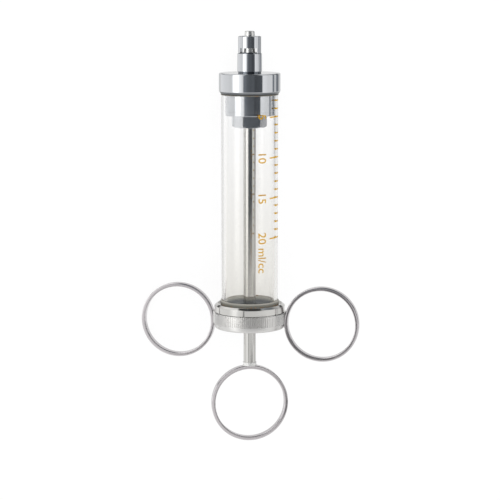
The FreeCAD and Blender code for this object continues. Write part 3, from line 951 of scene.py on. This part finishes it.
def makeNut():
    corner = nut["flats"] / 2 / math.cos(math.pi / 6)
    freeSelection()
    height = nut["rear"] - nut["front"]
    bpy.ops.mesh.primitive_cylinder_add(vertices=6, radius=corner * mm, depth=height * mm,
                                        location=(0, 0, (nut["front"] + height / 2) * mm),
                                        rotation=(0, 0, math.pi / 6))
    piece = bpy.context.object
    piece.name = "pistonNut"
    bpy.ops.object.transform_apply(location=True, rotation=True, scale=True)
    # the flats face up and down: a corner points to each side
    turnBy = math.pi / 2 - math.atan2(piece.data.vertices[0].co.y, piece.data.vertices[0].co.x)
    piece.rotation_euler = (0, 0, turnBy + math.pi / 2)
    bpy.ops.object.transform_apply(location=True, rotation=True, scale=True)
    applied(piece, "BEVEL", width=nut["edge"] * mm, segments=nut["edgeSegments"])
    flat = nut["flats"] / 2
    reach = corner + nut["overcut"]
    slope = (reach - flat) * math.tan(math.radians(nut["chamferAngle"]))
    start, end = nut["front"] - nut["overcut"], nut["rear"] + nut["overcut"]
    cone = turn("nutChamferTool", [
        (lathe["centre"], start), (reach, start), (reach, nut["rear"] - slope), (flat, nut["rear"]),
        (lathe["centre"], nut["rear"]),
    ], bored=False)
    carve(piece, cone, "INTERSECT")
    hole = turn("nutHoleTool", [(nut["hole"] / 2, start), (nut["hole"] / 2, end)], bored=False)
    carve(piece, hole)
    return lay(piece, plungerPlace, "plunger", chromeFinish, ["piston_nut"])


rod = {"front": 28.9, "shoulder": 33.4, "rear": 134.0, "stub": 4.0, "diameter": 5.0, "edge": 0.1}


def makeRod():
    piece = turn("pistonRod", [
        (rod["stub"] / 2, rod["front"]),
        (rod["stub"] / 2, rod["shoulder"]),
        (rod["diameter"] / 2, rod["shoulder"]),
        (rod["diameter"] / 2, rod["rear"]),
    ], [(rod["stub"] / 2, rod["front"], rod["edge"])], bored=False, sides=lathe["rodSides"])
    return lay(piece, plungerPlace, "plunger", rodFinish, ["piston_rod"])


boss = {"front": 134.0, "length": 1.3, "diameter": 5.5, "edge": 0.15, "saddleWidth": 20}


def makeBoss():
    radius = band["thumbBore"] / 2 + band["thickness"]
    centre = boss["front"] + boss["length"] + radius
    piece = turn("ringBoss", [
        (boss["diameter"] / 2, boss["front"]),
        (boss["diameter"] / 2, boss["front"] + boss["length"] + band["thickness"]),
    ], [(boss["diameter"] / 2, boss["front"], boss["edge"])], bored=False, sides=lathe["rodSides"])
    freeSelection()
    bpy.ops.mesh.primitive_cylinder_add(vertices=lathe["bandSides"], radius=radius * mm,
                                        depth=boss["saddleWidth"] * mm, location=(0, 0, centre * mm),
                                        rotation=(math.pi / 2, 0, 0))
    saddle = bpy.context.object
    bpy.ops.object.transform_apply(location=True, rotation=True, scale=True)
    carve(piece, saddle)
    return lay(piece, plungerPlace, "plunger", bossFinish, ["ring_boss"])


makeHub()
makeSleeve()
makeFrontCap()
makeFrontSeal()
makeGlass()
makeScale()
makeRearSeal()
makeRearRing()
makeScrewCap()
makePiston()
makeNut()
makeRod()
makeBoss()
for side in ("left", "right"):
    name = f"finger_ring_{side}"
    makeBand(f"{side}FingerRing", band["fingerBore"], ringPlace(name, barrelUp), "screw_cap", name)
makeBand("thumbRing", band["thumbBore"], ringPlace("thumb_ring", plungerUp), "plunger", "thumb_ring")
washers = {"front_washer": rubberFinish, "rear_gasket": rubberFinish, "gland_washer": glandFinish}
for name, finish in washers.items():
    nodes[name].data.materials.clear()
    nodes[name].data.materials.append(finish)
print("pieces made")

# Floor, studio and camera

# The mirrored room. Directions run round the syringe, in degrees from straight up towards the
# right finger ring, and each has its brightness.
studio = {
    "floorSize": 1.6, "floorWhite": "#FFFFFF", "glow": 1.03, "glowShare": 0.88,
    "ahead": [
        (-165, 0.80), (-150, 0.86), (-139, 1.15), (-116, 1.08), (-94, 1.03), (-84, 0.97), (-74, 1.03),
        (-71, 2.3), (-50, 2.3), (-47.5, 1.5), (-40, 1.34), (-32, 1.0), (-29.5, 0.28), (-22, 0.26),
        (-17, 0.19), (-6, 0.15), (8, 0.16), (14, 0.10), (26, 0.115), (40.5, 0.14), (43, 1.17),
        (54, 1.12), (66, 1.0), (86, 1.0), (90, 0.30), (96, 0.30), (99, 0.82), (107, 0.85),
        (112, 0.36), (122, 0.22), (128, 0.5), (142, 0.84),
    ],
    "behind": [
        (-165, 0.80), (-150, 0.86), (-139, 1.15), (-116, 1.04), (-80, 1.0), (-68, 1.2), (-62, 1.38),
        (-53, 1.38), (-44, 1.05), (-37, 0.97), (-30, 0.94), (-20, 0.87), (0, 0.86), (15, 0.9),
        (35, 0.97), (54, 1.02), (86, 1.0), (90, 0.72), (98, 0.72), (102, 0.9), (112, 0.85),
        (122, 0.85), (142, 0.95),
    ],
    "coolDark": "#EDF5FF",
    # the front pattern ends where a direction leans this far back, a little further on the left
    "split": -0.125, "splitSlant": 0.03, "splitSoft": 0.02,
    # dark bands at the end of the room in front of the tip: they draw the rounded front edges
    "ends": [(0.34, 0.48, 0.04), (0.94, 2, 0.012)], "endLevel": 0.07,
    # dark screens behind the split: from and to round the syringe, then how far they lean back
    "screens": [(-27.6, -24.4, 0.4, -0.205, -0.14, 0.01), (-30.4, -24, 0.4, -0.205, -0.174, 0.003),
                (7.2, 50, 0.6, -0.226, -0.19, 0.003)],
    "screenLevel": 0.2,
}


def brightnessRamp(tree, share, levels, top):
    ramp = addNode(tree, "ShaderNodeValToRGB", None, {"Fac": share})
    stops = ramp.color_ramp.elements
    stops.remove(stops[-1])
    cool = linear(studio["coolDark"])
    for index, (place, level) in enumerate(levels):
        stop = stops[0] if index == 0 else stops.new(0.5 + place / 360)
        stop.position = 0.5 + place / 360
        # the darker parts of the room are a little bluer
        tint = [channel if level < 0.5 else 1.0 for channel in cool[:3]]
        stop.color = [level / top * part for part in tint] + [1]
    return ramp.outputs["Color"]


def within(tree, value, low, high, soft):
    # 1 where the value lies between low and high, 0 elsewhere, with soft borders
    rise = ranged(tree, value, low - soft, low + soft)
    fall = ranged(tree, value, high - soft, high + soft, 1.0, 0.0)
    return calculated(tree, "MULTIPLY", rise, fall)


def grey(level):
    return (level, level, level, 1)


def background(tree, colour, strength):
    return addNode(tree, "ShaderNodeBackground", None, {
        "Color": colour, "Strength": strength}).outputs["Background"]


def mirroredTest(tree):
    # 1 for light that a surface has mirrored on its way to the camera
    depth = addNode(tree, "ShaderNodeLightPath").outputs["Glossy Depth"]
    return calculated(tree, "GREATER_THAN", depth, 0.5)


def makeWorld():
    # a white room with a soft box on the left, dark edges on the right and the dark of the camera
    # overhead, for metal to mirror; everything else sees it evenly white
    world = bpy.data.worlds.new("paleStudio")
    bpy.context.scene.world = world
    world.use_nodes = True
    tree = world.node_tree
    tree.nodes.clear()
    direction = addNode(tree, "ShaderNodeTexCoord")
    parts = addNode(tree, "ShaderNodeSeparateXYZ", None, {"Vector": direction.outputs["Generated"]})
    angle = calculated(tree, "ARCTAN2", parts.outputs["X"], parts.outputs["Z"])
    share = calculated(tree, "MULTIPLY_ADD", angle, 1 / (2 * math.pi), 0.5)
    top = max(level for place, level in studio["ahead"])
    ahead = brightnessRamp(tree, share, studio["ahead"], top)
    behind = brightnessRamp(tree, share, studio["behind"], top)
    for start, end, soft, low, high, softLean in studio["screens"]:
        across = within(tree, share, 0.5 + start / 360, 0.5 + end / 360, soft / 360)
        back = within(tree, parts.outputs["Y"], low, high, softLean)
        behind = blend(tree, calculated(tree, "MULTIPLY", across, back), behind,
                       grey(studio["screenLevel"] / top))
    left = calculated(tree, "MINIMUM", parts.outputs["X"], 0.0)
    lean = calculated(tree, "MULTIPLY_ADD", left, -studio["splitSlant"], parts.outputs["Y"])
    split = ranged(tree, lean, studio["split"] - studio["splitSoft"],
                   studio["split"] + studio["splitSoft"])
    room = blend(tree, split, behind, ahead)
    for low, high, soft in studio["ends"]:
        room = blend(tree, within(tree, parts.outputs["Y"], low, high, soft), room,
                     grey(studio["endLevel"] / top))
    mix = mixShader(tree, mirroredTest(tree), background(tree, grey(1), 1.0), background(tree, room, top))
    addNode(tree, "ShaderNodeOutputWorld", None, {"Surface": mix})


def makeFloor():
    # white sweep under the syringe: mostly its own white, and a little real shadow
    freeSelection()
    bpy.ops.mesh.primitive_plane_add(size=studio["floorSize"], location=(0, 0, 0))
    floor = bpy.context.object
    floor.name = "floor"
    material, tree = newMaterial("whiteFloor")
    white = linear(studio["floorWhite"])
    glow = addNode(tree, "ShaderNodeEmission", None, {"Color": white, "Strength": studio["glow"]})
    lit = addNode(tree, "ShaderNodeBsdfDiffuse", None, {"Color": white})
    rays = addNode(tree, "ShaderNodeLightPath")
    seen = calculated(tree, "MAXIMUM", rays.outputs["Is Camera Ray"], rays.outputs["Is Transmission Ray"])
    share = calculated(tree, "MULTIPLY", seen, studio["glowShare"])
    plain = mixShader(tree, share, lit.outputs["BSDF"], glow.outputs["Emission"])
    # mirrored light goes through, so that metal shows the room's dark edges and not the floor
    surface = mixShader(tree, mirroredTest(tree), plain, transparent(tree, grey(1)))
    floor.data.materials.append(showing(material, surface))


view = {
    "distance": 0.730,  # metres from the syringe's axis
    "aheadOfTip": 25.3,  # the camera stands over a point this many millimetres in front of the tip
    "lean": 6.97,  # degrees to the left of straight above
    "aim": 87.97,  # the point of the axis in the middle of the frame, behind the tip
    "aside": 0.13,  # the middle of the frame lies this far to the right of the axis
    "lens": 131.6, "sensor": 36,
}


def makeCamera():
    camera = bpy.data.objects.new("camera", bpy.data.cameras.new("camera"))
    bpy.context.scene.collection.objects.link(camera)
    bpy.context.scene.camera = camera
    lean = math.radians(view["lean"])
    over = plungerUp * math.cos(lean) - Vector((1, 0, 0)) * math.sin(lean)
    camera.location = tipEnd - rearward * view["aheadOfTip"] * mm + over * view["distance"]
    target = tipEnd + rearward * view["aim"] * mm + Vector((view["aside"] * mm, 0, 0))
    look = (target - camera.location).normalized()
    across = look.cross(-rearward).normalized()
    upward = across.cross(look)
    camera.rotation_euler = Matrix((across, upward, -look)).transposed().to_euler()
    camera.data.lens = view["lens"]
    camera.data.sensor_width = view["sensor"]


makeWorld()
makeFloor()
makeCamera()
bpy.context.scene.view_settings.view_transform = "Standard"
print("scene ready")
